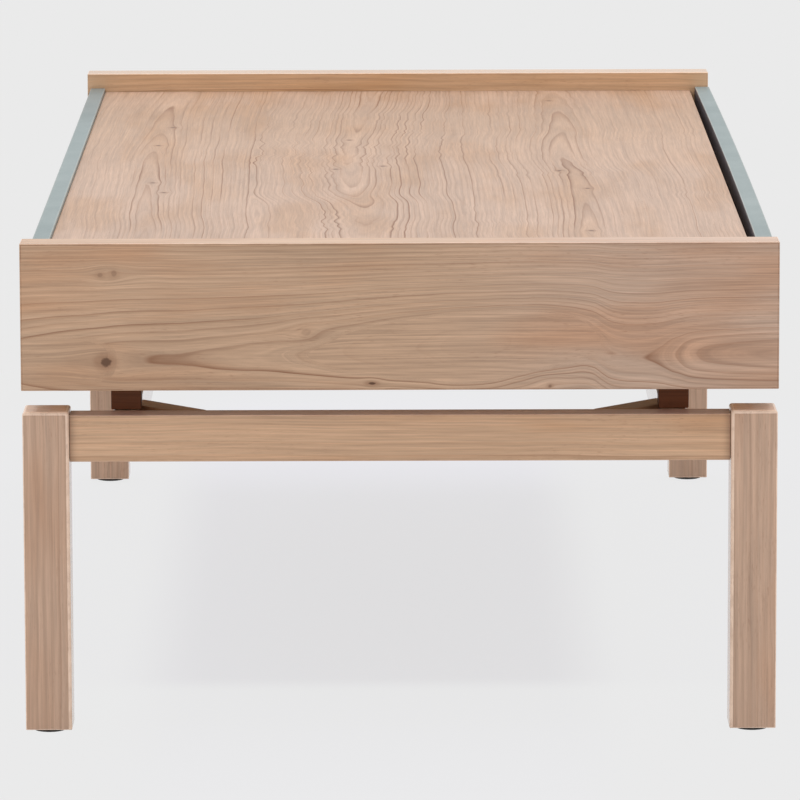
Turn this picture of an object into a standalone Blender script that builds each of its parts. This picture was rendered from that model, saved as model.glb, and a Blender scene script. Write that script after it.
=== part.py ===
# Coffee table with a drawer along each long side, in metres.
# The origin is on the floor under the middle of the table. X runs across the table, Y runs
# along it from the near end to the far end, and Z is up.

import math

import bmesh
import bpy
from mathutils import Vector

# Overall sizes
TABLE_LENGTH = 1.200
TABLE_WIDTH = 0.600
GAP = 0.0003

# Underframe
GLIDE_HEIGHT = 0.003
GLIDE_RADIUS = 0.0135
GLIDE_NAIL_RADIUS = 0.00125
GLIDE_NAIL_LENGTH = 0.014
GLIDE_SIDES = 24
LEG_LENGTH = 0.258
LEG_SIZE = 0.037
LEG_INSET = 0.0117
LEG_ROUNDING = 0.0026
LEG_EASING = 0.0008
RAIL_DROP = 0.0033
RAIL_HEIGHT = 0.0374
RAIL_THICKNESS = 0.0253
RAIL_RECESS = 0.003
RAIL_ROUNDING = 0.0010
LONG_RAIL_THICKNESS = 0.020
LONG_RAIL_OFFSET = 0.2185
BRACE_WIDTH = 0.024
BRACE_REACH = 0.0557
BRACE_HEIGHT = 0.024
BRACE_ROUNDING = 0.0015
SPACER_WIDTH = 0.024
SPACER_DEPTH = 0.025
SPACER_HEIGHT = 0.0217
BATTEN_DEPTH = 0.040

# Loose tenons and screws of the underframe
TENON_THICKNESS = 0.008
TENON_HEIGHT = 0.024
TENON_ROUNDING = 0.0015
LEG_TENON_REACH = 0.015
RAIL_TENON_REACH = 0.010
SCREW_SIDES = 12
SCREW_LENGTH = 0.052
SCREW_SHANK_RADIUS = 0.00225
SCREW_HEAD_RADIUS = 0.0042
SCREW_HEAD_HEIGHT = 0.003
SCREW_SINK = 0.017
SCREW_INSET = 0.008

# Box
BOX_HEIGHT = 0.1175
END_BOARD_THICKNESS = 0.030
END_BOARD_ROUNDING = 0.0010
HOUSING_DEPTH = 0.008
TONGUE_THICKNESS = 0.009
PANEL_DROP = 0.0173
PANEL_THICKNESS = 0.018
PANEL_WIDTH = 0.565
PANEL_ROUNDING = 0.0005
FLOOR_THICKNESS = 0.012
DIVIDER_THICKNESS = 0.018

# Drawers
FRONT_THICKNESS = 0.014
FRONT_TOP_PROUD = 0.0036
FRONT_BOTTOM_INSET = 0.0015
FRONT_END_GAP = 0.0015
FRONT_ROUNDING = 0.0008
FRONT_BOW_RIGHT = 0.0020
BOW_CUTS = 7
INNER_FRONT_THICKNESS = 0.012
SIDE_THICKNESS = 0.014
SIDE_CLEARANCE = 0.002
SIDE_REBATE = 0.004
BACK_THICKNESS = 0.012
BACK_CLEARANCE = 0.005
DRAWER_FLOOR_CLEARANCE = 0.002
DRAWER_HEIGHT = 0.064
BASE_THICKNESS = 0.005
BASE_RISE = 0.006
BASE_GROOVE = 0.005
DRAWER_TRAVEL = 0.200
RIGHT_DRAWER_AJAR = 0.0042

# Runners and stops
RUNNER_THICKNESS = 0.008
RUNNER_HEIGHT = 0.012
RUNNER_CENTRE_RISE = 0.033
RUNNER_START = 0.020
RUNNER_END = 0.262
RUNNER_PLAY = 0.0007
STOP_DEPTH = 0.020
STOP_LENGTH = 0.060
STOP_HEIGHT = 0.010
STOP_PLAY = 0.0005

# Places worked out from the sizes
HALF_LENGTH = TABLE_LENGTH / 2
HALF_WIDTH = TABLE_WIDTH / 2
LEG_TOP = GLIDE_HEIGHT + LEG_LENGTH
FRAME_TOP = LEG_TOP - RAIL_DROP
RAIL_BOTTOM = FRAME_TOP - RAIL_HEIGHT
BOX_BOTTOM = FRAME_TOP + SPACER_HEIGHT + 2 * GAP
BOX_TOP = BOX_BOTTOM + BOX_HEIGHT
FLOOR_TOP = BOX_BOTTOM + FLOOR_THICKNESS
PANEL_TOP = BOX_TOP - PANEL_DROP
PANEL_BOTTOM = PANEL_TOP - PANEL_THICKNESS
PANEL_HALF_WIDTH = PANEL_WIDTH / 2
BAY_HALF_LENGTH = HALF_LENGTH - END_BOARD_THICKNESS
LEG_OUTER_Y = HALF_LENGTH - LEG_INSET
LEG_INNER_X = HALF_WIDTH - LEG_SIZE
RAIL_OUTER_Y = LEG_OUTER_Y - RAIL_RECESS
RAIL_INNER_Y = RAIL_OUTER_Y - RAIL_THICKNESS
RAIL_CENTRE_Y = RAIL_OUTER_Y - RAIL_THICKNESS / 2
LONG_RAIL_INNER_X = LONG_RAIL_OFFSET - LONG_RAIL_THICKNESS / 2
RUNNER_Z = FLOOR_TOP + RUNNER_CENTRE_RISE
DRAWER_BOTTOM = FLOOR_TOP + DRAWER_FLOOR_CLEARANCE
DRAWER_TOP = DRAWER_BOTTOM + DRAWER_HEIGHT
DRAWER_BACK_X = DIVIDER_THICKNESS / 2 + BACK_CLEARANCE
SIDE_OUTER_Y = BAY_HALF_LENGTH - SIDE_CLEARANCE
SIDE_INNER_Y = SIDE_OUTER_Y - SIDE_THICKNESS
INNER_FRONT_X = PANEL_HALF_WIDTH - INNER_FRONT_THICKNESS

ENDS = (("near", -1), ("far", 1))
SIDES = (("left", -1), ("right", 1))


# Scene and materials

def clear_scene():
    for item in list(bpy.data.objects):
        bpy.data.objects.remove(item, do_unlink=True)


def new_collection(name):
    collection = bpy.data.collections.new(name)
    bpy.context.scene.collection.children.link(collection)
    return collection


def linear(red, green, blue):
    def channel(value):
        value = value / 255
        if value <= 0.04045:
            return value / 12.92
        return ((value + 0.055) / 1.055) ** 2.4
    return (channel(red), channel(green), channel(blue), 1.0)


def new_material(name, colour, roughness, metallic=0.0):
    material = bpy.data.materials.new(name)
    material.use_nodes = True
    shader = material.node_tree.nodes["Principled BSDF"]
    shader.inputs["Base Color"].default_value = linear(*colour)
    shader.inputs["Roughness"].default_value = roughness
    shader.inputs["Metallic"].default_value = metallic
    return material


clear_scene()
parts = new_collection("coffee_table")
cutters = new_collection("cutters")

frame_wood = new_material("frame_wood", (182, 150, 127), 0.55)
panel_wood = new_material("panel_wood", (208, 184, 168), 0.50)
inner_wood = new_material("inner_wood", (206, 180, 146), 0.60)
plywood = new_material("plywood", (200, 172, 136), 0.65)
blue_paint = new_material("blue_paint", (176, 184, 187), 0.45)
zinc_steel = new_material("zinc_steel", (178, 178, 176), 0.35, 1.0)
dark_plastic = new_material("dark_plastic", (46, 43, 42), 0.50)


# Building blocks

# The range between two distances from the middle, on the side that sign gives.
def span(sign, inner, outer):
    return tuple(sorted((sign * inner, sign * outer)))


def place_object(name, mesh, material, parent=None):
    piece = bpy.data.objects.new(name, mesh)
    if material:
        mesh.materials.append(material)
        parts.objects.link(piece)
    else:
        cutters.objects.link(piece)
        piece.hide_render = True
        piece.display_type = "WIRE"
    piece.parent = parent
    return piece


def centre_of(x_range, y_range, z_range):
    return Vector([(low + high) / 2 for low, high in (x_range, y_range, z_range)])


def box_mesh(name, x_range, y_range, z_range):
    size = [high - low for low, high in (x_range, y_range, z_range)]
    builder = bmesh.new()
    bmesh.ops.create_cube(builder, size=1.0)
    bmesh.ops.scale(builder, vec=Vector(size), verts=builder.verts)
    mesh = bpy.data.meshes.new(name)
    builder.to_mesh(mesh)
    builder.free()
    return mesh


def round_edges(piece, width):
    bevel = piece.modifiers.new("rounding", "BEVEL")
    bevel.width = width
    bevel.segments = 2
    bevel.limit_method = "ANGLE"


# A board between two planes on each axis, with its origin in its middle.
def board(name, x_range, y_range, z_range, material, rounding=0.0, parent=None):
    mesh = box_mesh(name, x_range, y_range, z_range)
    piece = place_object(name, mesh, material, parent)
    piece.location = centre_of(x_range, y_range, z_range)
    if rounding:
        round_edges(piece, rounding)
    return piece


def cut(piece, cutter):
    boolean = piece.modifiers.new(cutter.name, "BOOLEAN")
    boolean.operation = "DIFFERENCE"
    boolean.solver = "EXACT"
    boolean.object = cutter


# Cuts a seat for a piece out of its hosts, larger than the piece by the gap all round.
def seat(name, ranges, hosts, parent=None):
    grown = [(low - GAP, high + GAP) for low, high in ranges]
    cutter = board(name + "_seat", *grown, None, 0.0, parent)
    for host in hosts:
        cut(host, cutter)


# A profile of (radius, height) points, listed from top to bottom and turned about Z.
def turned(name, profile, sides, material):
    mesh = bpy.data.meshes.new(name)
    edges = [(index, index + 1) for index in range(len(profile) - 1)]
    mesh.from_pydata([(radius, 0.0, height) for radius, height in profile], edges, [])
    piece = place_object(name, mesh, material)
    screw = piece.modifiers.new("turn", "SCREW")
    screw.steps = sides
    screw.render_steps = sides
    screw.use_merge_vertices = True
    screw.merge_threshold = 0.00001
    return piece


# Box

# The top panel has a tongue at each end, flush with its underside. The floor and the divider
# go into the end boards at their full thickness.
def build_box():
    housed = BAY_HALF_LENGTH + HOUSING_DEPTH
    bay = (-housed, housed)
    panel_span = (-PANEL_HALF_WIDTH, PANEL_HALF_WIDTH)
    divider_span = (-DIVIDER_THICKNESS / 2, DIVIDER_THICKNESS / 2)
    tongue_top = PANEL_BOTTOM + TONGUE_THICKNESS
    top_panel = board("top_panel", panel_span, bay, (PANEL_BOTTOM, PANEL_TOP), panel_wood, PANEL_ROUNDING)
    end_boards = []
    for end_name, end in ENDS:
        end_boards.append(board(
            "end_board_" + end_name,
            (-HALF_WIDTH, HALF_WIDTH),
            span(end, BAY_HALF_LENGTH, HALF_LENGTH),
            (BOX_BOTTOM, BOX_TOP),
            frame_wood,
            END_BOARD_ROUNDING,
        ))
        shoulder = board(
            "panel_shoulder_" + end_name,
            (-HALF_WIDTH, HALF_WIDTH),
            span(end, BAY_HALF_LENGTH - GAP, HALF_LENGTH),
            (tongue_top, BOX_TOP),
            None,
        )
        cut(top_panel, shoulder)
    seat("top_panel", (panel_span, bay, (PANEL_BOTTOM, tongue_top)), end_boards)

    boards = (
        ("bottom_panel", (panel_span, bay, (BOX_BOTTOM, FLOOR_TOP)), plywood),
        ("centre_divider", (divider_span, bay, (FLOOR_TOP + GAP, PANEL_BOTTOM - GAP)), inner_wood),
    )
    for name, ranges, material in boards:
        board(name, *ranges, material)
        seat(name, ranges, end_boards)


def build_runners():
    for side_name, side in SIDES:
        for end_name, end in ENDS:
            board(
                "runner_" + side_name + "_" + end_name,
                span(side, RUNNER_START, RUNNER_END),
                span(end, BAY_HALF_LENGTH - GAP - RUNNER_THICKNESS, BAY_HALF_LENGTH - GAP),
                (RUNNER_Z - RUNNER_HEIGHT / 2, RUNNER_Z + RUNNER_HEIGHT / 2),
                inner_wood,
            )


# Blocks under the top panel that catch the back of an open drawer.
def build_stops():
    stop_x = DRAWER_BACK_X + BACK_THICKNESS + DRAWER_TRAVEL + STOP_PLAY
    stop_top = PANEL_BOTTOM - GAP
    for side_name, side in SIDES:
        board(
            "stop_" + side_name,
            span(side, stop_x, stop_x + STOP_DEPTH),
            (-STOP_LENGTH / 2, STOP_LENGTH / 2),
            (stop_top - STOP_HEIGHT, stop_top),
            inner_wood,
        )


# Underframe

# Rounds the top edges of a leg and the upright one that stands proud of the end rail, and
# eases the others.
def round_leg(piece, side, end):
    weights = piece.data.attributes.new("bevel_weight_edge", "FLOAT", "EDGE")
    for edge in piece.data.edges:
        points = [piece.data.vertices[index].co for index in edge.vertices]
        on_top = all(point.z > 0 for point in points)
        by_rail = all(point.x * side < 0 and point.y * end > 0 for point in points)
        weights.data[edge.index].value = 1.0 if on_top or by_rail else LEG_EASING / LEG_ROUNDING
    bevel = piece.modifiers.new("rounding", "BEVEL")
    bevel.width = LEG_ROUNDING
    bevel.segments = 2
    bevel.limit_method = "WEIGHT"


# A leg with the hole for its glide's nail.
def build_leg(corner, side, end):
    new_leg = board(
        "leg_" + corner,
        span(side, LEG_INNER_X, HALF_WIDTH),
        span(end, LEG_OUTER_Y - LEG_SIZE, LEG_OUTER_Y),
        (GLIDE_HEIGHT, LEG_TOP),
        frame_wood,
    )
    round_leg(new_leg, side, end)
    radius = GLIDE_NAIL_RADIUS + GAP
    top = GLIDE_NAIL_LENGTH + GLIDE_HEIGHT + GAP
    hole = turned("nail_hole_" + corner, [(0, top), (radius, top), (radius, 0), (0, 0)], GLIDE_SIDES, None)
    hole.location = (new_leg.location.x, new_leg.location.y, 0)
    cut(new_leg, hole)
    return new_leg


# A flat round glide with a nail on top.
def build_glide(corner, location):
    disc_top = GLIDE_HEIGHT - GAP
    nail_top = GLIDE_HEIGHT + GLIDE_NAIL_LENGTH
    profile = [
        (0, nail_top),
        (GLIDE_NAIL_RADIUS, nail_top - 2 * GLIDE_NAIL_RADIUS),
        (GLIDE_NAIL_RADIUS, disc_top),
        (GLIDE_RADIUS - 0.0010, disc_top),
        (GLIDE_RADIUS, disc_top - 0.0010),
        (GLIDE_RADIUS, 0.0008),
        (GLIDE_RADIUS - 0.0008, 0),
        (0, 0),
    ]
    glide = turned("glide_" + corner, profile, GLIDE_SIDES, dark_plastic)
    glide.location = (location.x, location.y, 0)


# A diagonal piece between an end rail and a long rail, drawn as a flat outline.
def build_brace(corner, side, end):
    corner_y = RAIL_INNER_Y - GAP
    side_x = LONG_RAIL_INNER_X - GAP
    front_reach = BRACE_REACH - BRACE_WIDTH * math.sqrt(2)
    outline = [
        (side_x - BRACE_REACH, corner_y),
        (side_x - front_reach, corner_y),
        (side_x, corner_y - front_reach),
        (side_x, corner_y - BRACE_REACH),
    ]
    curve = bpy.data.curves.new("corner_brace_" + corner, "CURVE")
    curve.dimensions = "2D"
    curve.fill_mode = "BOTH"
    curve.extrude = BRACE_HEIGHT / 2
    spline = curve.splines.new("POLY")
    spline.points.add(len(outline) - 1)
    spline.use_cyclic_u = True
    for point, (x, y) in zip(spline.points, outline):
        point.co = (side * x, end * y, 0, 1)
    brace = place_object("corner_brace_" + corner, curve, frame_wood)
    brace.location.z = FRAME_TOP - BRACE_HEIGHT / 2
    weld = brace.modifiers.new("weld", "WELD")
    weld.merge_threshold = 0.00001
    round_edges(brace, BRACE_ROUNDING)


# A screw that stands upright with its head down, and the hole for it through its hosts.
def mounting_screw(name, location, hosts):
    def profile(grow, above):
        head = SCREW_HEAD_RADIUS + grow
        shank = SCREW_SHANK_RADIUS + grow
        return [
            (0, above),
            (head, above),
            (head, -0.2 * SCREW_HEAD_HEIGHT - grow),
            (shank, -SCREW_HEAD_HEIGHT - grow),
            (shank, -SCREW_LENGTH + 2 * SCREW_SHANK_RADIUS - grow),
            (0, -SCREW_LENGTH - grow),
        ]

    solid = turned(name, profile(0, 0), SCREW_SIDES, zinc_steel)
    hole = turned(name + "_hole", profile(GAP, SCREW_SINK + 0.003), SCREW_SIDES, None)
    for upright in (solid, hole):
        upright.location = location
        upright.rotation_euler.x = math.pi
    for host in hosts:
        cut(host, hole)


def build_underframe():
    rail_heights = (RAIL_BOTTOM, FRAME_TOP)
    rail_middle = (RAIL_BOTTOM + FRAME_TOP) / 2
    tenon_heights = (rail_middle - TENON_HEIGHT / 2, rail_middle + TENON_HEIGHT / 2)
    spacer_heights = (FRAME_TOP + GAP, FRAME_TOP + GAP + SPACER_HEIGHT)
    spacer_x = (LONG_RAIL_OFFSET - SPACER_WIDTH / 2, LONG_RAIL_OFFSET + SPACER_WIDTH / 2)
    spacer_y = (RAIL_INNER_Y - GAP - SPACER_DEPTH, RAIL_INNER_Y - GAP)
    bottom_panel = bpy.data.objects["bottom_panel"]
    screw_height = RAIL_BOTTOM + SCREW_SINK

    end_rails = {}
    for end_name, end in ENDS:
        end_rails[end_name] = board(
            "end_rail_" + end_name,
            (-LEG_INNER_X + GAP, LEG_INNER_X - GAP),
            span(end, RAIL_INNER_Y, RAIL_OUTER_Y),
            rail_heights,
            frame_wood,
            RAIL_ROUNDING,
        )
    middle_batten = board("middle_batten", (-spacer_x[1], spacer_x[1]),
                          (-BATTEN_DEPTH / 2, BATTEN_DEPTH / 2), spacer_heights, frame_wood, RAIL_ROUNDING)

    for side_name, side in SIDES:
        long_rail = board(
            "long_rail_" + side_name,
            span(side, LONG_RAIL_INNER_X, LONG_RAIL_INNER_X + LONG_RAIL_THICKNESS),
            (-RAIL_INNER_Y + GAP, RAIL_INNER_Y - GAP),
            rail_heights,
            frame_wood,
            RAIL_ROUNDING,
        )
        mounting_screw("mounting_screw_middle_" + side_name, (side * LONG_RAIL_OFFSET, 0, screw_height),
                       (long_rail, middle_batten, bottom_panel))
        for end_name, end in ENDS:
            corner = end_name + "_" + side_name
            end_rail = end_rails[end_name]
            new_leg = build_leg(corner, side, end)
            build_glide(corner, new_leg.location)
            build_brace(corner, side, end)
            spacer = board("spacer_" + corner, span(side, *spacer_x), span(end, *spacer_y),
                           spacer_heights, frame_wood, RAIL_ROUNDING)
            screw_y = end * (spacer_y[0] + SCREW_INSET)
            mounting_screw("mounting_screw_" + corner, (side * LONG_RAIL_OFFSET, screw_y, screw_height),
                           (long_rail, spacer, bottom_panel))
            leg_tenon = (
                span(side, LEG_INNER_X - LEG_TENON_REACH, LEG_INNER_X + LEG_TENON_REACH),
                span(end, RAIL_CENTRE_Y - TENON_THICKNESS / 2, RAIL_CENTRE_Y + TENON_THICKNESS / 2),
                tenon_heights,
            )
            board("leg_tenon_" + corner, *leg_tenon, inner_wood, TENON_ROUNDING)
            seat("leg_tenon_" + corner, leg_tenon, (new_leg, end_rail))
            rail_tenon = (
                span(side, LONG_RAIL_OFFSET - TENON_THICKNESS / 2, LONG_RAIL_OFFSET + TENON_THICKNESS / 2),
                span(end, RAIL_INNER_Y - RAIL_TENON_REACH, RAIL_INNER_Y + RAIL_TENON_REACH),
                tenon_heights,
            )
            board("rail_tenon_" + corner, *rail_tenon, inner_wood, TENON_ROUNDING)
            seat("rail_tenon_" + corner, rail_tenon, (end_rail, long_rail))


# Drawers

# The painted board in front, bowed outwards in the middle by the given amount.
def painted_front(name, side, bow, parent):
    half_length = BAY_HALF_LENGTH - FRONT_END_GAP
    front = board(
        name,
        span(side, PANEL_HALF_WIDTH + GAP, PANEL_HALF_WIDTH + GAP + FRONT_THICKNESS),
        (-half_length, half_length),
        (BOX_BOTTOM + FRONT_BOTTOM_INSET, PANEL_TOP + FRONT_TOP_PROUD),
        blue_paint,
        0.0,
        parent,
    )
    if bow:
        builder = bmesh.new()
        builder.from_mesh(front.data)
        long_edges = [edge for edge in builder.edges
                      if abs(edge.verts[0].co.y - edge.verts[1].co.y) > half_length]
        bmesh.ops.subdivide_edges(builder, edges=long_edges, cuts=BOW_CUTS, use_grid_fill=True)
        for vertex in builder.verts:
            vertex.co.x += side * bow * (1 - (vertex.co.y / half_length) ** 2)
        builder.to_mesh(front.data)
        builder.free()
    round_edges(front, FRONT_ROUNDING)


# A whole drawer. Its pieces stand where they are when it is shut, under an empty that
# slides out along X by the opening.
def build_drawer(side_name, side, opening, bow):
    slide = bpy.data.objects.new("slide_" + side_name, None)
    slide.location.x = side * opening
    parts.objects.link(slide)
    painted_front("drawer_front_" + side_name, side, bow, slide)

    heights = (DRAWER_BOTTOM, DRAWER_TOP)
    walls = []
    for end_name, end in ENDS:
        wall = board(
            "drawer_side_" + side_name + "_" + end_name,
            span(side, DRAWER_BACK_X, PANEL_HALF_WIDTH),
            span(end, SIDE_INNER_Y, SIDE_OUTER_Y),
            heights,
            inner_wood,
            0.0,
            slide,
        )
        groove_depth = RUNNER_THICKNESS + RUNNER_PLAY - SIDE_CLEARANCE
        groove_reach = RUNNER_HEIGHT / 2 + RUNNER_PLAY / 2
        groove = board(
            "runner_groove_" + side_name + "_" + end_name,
            span(side, DRAWER_BACK_X - 0.010, RUNNER_END + 0.006),
            span(end, SIDE_OUTER_Y - groove_depth, SIDE_OUTER_Y + 0.010),
            (RUNNER_Z - groove_reach, RUNNER_Z + groove_reach),
            None,
            0.0,
            slide,
        )
        cut(wall, groove)
        walls.append(wall)

    rebated = (-SIDE_INNER_Y - SIDE_REBATE, SIDE_INNER_Y + SIDE_REBATE)
    crosspieces = []
    for name, x_range in (
        ("inner_front_" + side_name, span(side, INNER_FRONT_X, PANEL_HALF_WIDTH)),
        ("drawer_back_" + side_name, span(side, DRAWER_BACK_X, DRAWER_BACK_X + BACK_THICKNESS)),
    ):
        ranges = (x_range, rebated, heights)
        crosspieces.append(board(name, *ranges, inner_wood, 0.0, slide))
        seat(name, ranges, walls, slide)

    base = (
        span(side, DRAWER_BACK_X + BACK_THICKNESS - BASE_GROOVE, INNER_FRONT_X + BASE_GROOVE),
        (-SIDE_INNER_Y - BASE_GROOVE, SIDE_INNER_Y + BASE_GROOVE),
        (DRAWER_BOTTOM + BASE_RISE, DRAWER_BOTTOM + BASE_RISE + BASE_THICKNESS),
    )
    board("drawer_base_" + side_name, *base, plywood, 0.0, slide)
    seat("drawer_base_" + side_name, base, walls + crosspieces, slide)


build_box()
build_runners()
build_stops()
build_underframe()
build_drawer("left", -1, 0.0, 0.0)
build_drawer("right", 1, RIGHT_DRAWER_AJAR, FRONT_BOW_RIGHT)
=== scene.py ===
import math

import bmesh
import bpy
from mathutils import Matrix, Vector


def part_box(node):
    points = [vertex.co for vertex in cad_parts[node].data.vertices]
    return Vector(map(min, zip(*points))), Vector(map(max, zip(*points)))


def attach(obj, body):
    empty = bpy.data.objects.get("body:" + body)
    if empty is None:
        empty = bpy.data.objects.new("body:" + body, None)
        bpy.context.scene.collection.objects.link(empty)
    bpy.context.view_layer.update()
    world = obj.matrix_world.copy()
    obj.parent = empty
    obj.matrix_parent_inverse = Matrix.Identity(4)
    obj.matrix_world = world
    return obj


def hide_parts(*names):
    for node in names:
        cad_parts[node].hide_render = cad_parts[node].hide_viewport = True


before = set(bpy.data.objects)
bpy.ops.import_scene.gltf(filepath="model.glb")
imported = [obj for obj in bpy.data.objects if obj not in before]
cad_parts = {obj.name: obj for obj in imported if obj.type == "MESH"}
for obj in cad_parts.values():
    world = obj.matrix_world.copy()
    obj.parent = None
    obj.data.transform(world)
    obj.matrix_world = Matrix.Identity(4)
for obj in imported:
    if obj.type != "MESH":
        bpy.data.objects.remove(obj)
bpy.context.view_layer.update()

print("frame loaded,", len(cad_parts), "nodes")

sides, ends = ("left", "right"), ("near", "far")
corners = [end + "_" + side for end in ends for side in sides]


# Colours and node trees

def linear(red, green, blue):
    def channel(value):
        value = value / 255
        return value / 12.92 if value <= 0.04045 else ((value + 0.055) / 1.055) ** 2.4
    return (channel(red), channel(green), channel(blue), 1.0)


# An input takes another node's socket or a plain value. Most of the functions below find their
# node tree from the sockets that they get.
def isSocket(value):
    return isinstance(value, bpy.types.NodeSocket)


def treeOf(*values):
    return next(value.id_data for value in values if isSocket(value))


def addNode(tree, kind, sources=None, **settings):
    made = tree.nodes.new(kind)
    for name, value in settings.items():
        setattr(made, name, value)
    for key, source in (sources or {}).items():
        if isSocket(source):
            tree.links.new(source, made.inputs[key])
        else:
            made.inputs[key].default_value = source
    return made


def maths(operation, *values):
    return addNode(treeOf(*values), "ShaderNodeMath", dict(enumerate(values)), operation=operation).outputs[0]


def plus(first, *others):
    for other in others:
        first = maths("ADD", first, other)
    return first


def times(first, *others):
    for other in others:
        first = maths("MULTIPLY", first, other)
    return first


def minus(first, second):
    return maths("SUBTRACT", first, second)


def over(first, second):
    return maths("DIVIDE", first, second)


# a noise lies about 0.5, and this makes it swing about zero
def centred(value, reach):
    return times(minus(value, 0.5), reach)


def vectorMaths(operation, *values):
    made = addNode(treeOf(*values), "ShaderNodeVectorMath", dict(enumerate(values)), operation=operation)
    return made.outputs["Value" if operation in ("LENGTH", "DOT_PRODUCT") else "Vector"]


def parted(vector):
    return addNode(vector.id_data, "ShaderNodeSeparateXYZ", {0: vector}).outputs


def combined(x, y, z):
    return addNode(treeOf(x, y, z), "ShaderNodeCombineXYZ", {"X": x, "Y": y, "Z": z}).outputs[0]


def ramped(value, fromLow, fromHigh, toLow=0.0, toHigh=1.0, smooth=True):
    made = addNode(
        value.id_data, "ShaderNodeMapRange",
        {"Value": value, "From Min": fromLow, "From Max": fromHigh, "To Min": toLow, "To Max": toHigh},
        interpolation_type="SMOOTHSTEP" if smooth else "LINEAR",
    )
    return made.outputs["Result"]


# most of a noise lies between 0.3 and 0.7
def spread(value, low, high):
    return ramped(value, 0.3, 0.7, low, high, smooth=False)


# noise of one scale, or drawn out by a scale for each way and moved by a seed
def noise(vector, scale=1.0, seed=0.0, detail=2.0, roughness=0.5):
    if isinstance(scale, tuple):
        shift = combined(seed, seed, seed) if isSocket(seed) else (seed, seed, seed)
        vector, scale = vectorMaths("MULTIPLY_ADD", vector, scale, shift), 1.0
    made = addNode(vector.id_data, "ShaderNodeTexNoise",
                   {"Vector": vector, "Scale": scale, "Detail": detail, "Roughness": roughness})
    return made.outputs["Fac"]


def blended(share, first, second, how="MIX"):
    made = addNode(treeOf(share, first, second), "ShaderNodeMix", {0: share, 6: first, 7: second},
                   data_type="RGBA", blend_type=how)
    return made.outputs[2]


# a coat of one colour over another, as dense as its mask
def coated(colour, coat, mask, strength=None):
    under = colour if isSocket(colour) else linear(*colour)
    return blended(mask if strength is None else times(mask, strength), under, linear(*coat))


def tinted(colour, tint, share):
    return blended(share, colour, (*tint, 1.0), "MULTIPLY")


def shaded(colour, shade):
    return blended(1.0, colour, combined(shade, shade, shade), "MULTIPLY")


# a group's inputs are numbers, or vectors where they start as one or as nothing
def newGroup(name, inputs):
    group = bpy.data.node_groups.new(name, "ShaderNodeTree")
    for label, value in inputs.items():
        kind = "NodeSocketFloat" if isinstance(value, float) else "NodeSocketVector"
        socket = group.interface.new_socket(name=label, in_out="INPUT", socket_type=kind)
        if value is not None:
            socket.default_value = value
    return group, group.nodes.new("NodeGroupInput").outputs


def putOut(group, values):
    for label, value in values.items():
        kind = "NodeSocketVector" if value.type == "VECTOR" else "NodeSocketFloat"
        group.interface.new_socket(name=label, in_out="OUTPUT", socket_type=kind)
    addNode(group, "NodeGroupOutput", values)
    return group


def useGroup(group, sources):
    return addNode(treeOf(*sources.values()), "ShaderNodeGroup", sources, node_tree=group).outputs


# Groups that several finishes share. A board's own space runs along its grain, across its
# face, and down into it from the face.

# Year rings round a heart that runs below the face. Sway moves the heart sideways and rise
# moves it deeper, both only within reach of it. Curl bends the grain, kinks and the finer
# ripple, which is counted in rings, make it waver.
def makeFigureGroup():
    group, given = newGroup("yearRings", {
        "Vector": None, "Centre": 0.0, "Sway": 0.0, "Depth": 0.04, "Rise": 0.0, "Reach": 0.05,
        "Ring Width": 0.004, "Wander": 0.004, "Curl": 0.0, "Kinks": 0.0, "Ripple": 0.30, "Seed": 0.0})
    board, seed = given["Vector"], given["Seed"]
    parts = parted(board)
    curl = centred(noise(board, (7.0, 1.8, 1.8), seed, detail=1.0), given["Curl"])
    kinked = ramped(noise(board, (3.4, 7.0, 7.0), seed, detail=1.0), 0.45, 0.62)
    kink = times(centred(noise(board, (19.0, 4.0, 4.0), seed), given["Kinks"]), kinked)
    across = plus(minus(parts[1], given["Centre"]), plus(curl, kink))
    share = maths("POWER", maths("ABSOLUTE", over(across, given["Reach"])), 4.0)
    share = over(1.0, plus(share, 1.0))
    across = minus(across, times(given["Sway"], share))
    depth = plus(parts[2], given["Depth"], times(given["Rise"], share))
    radius = maths("SQRT", plus(times(across, across), times(depth, depth)))
    radius = plus(radius, centred(noise(board, (2.4, 12.0, 12.0), seed), given["Wander"]))
    ripple = centred(noise(board, (18.0, 70.0, 70.0), seed), given["Ripple"])
    return putOut(group, {"Rings": plus(over(radius, given["Ring Width"]), ripple)})


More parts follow.
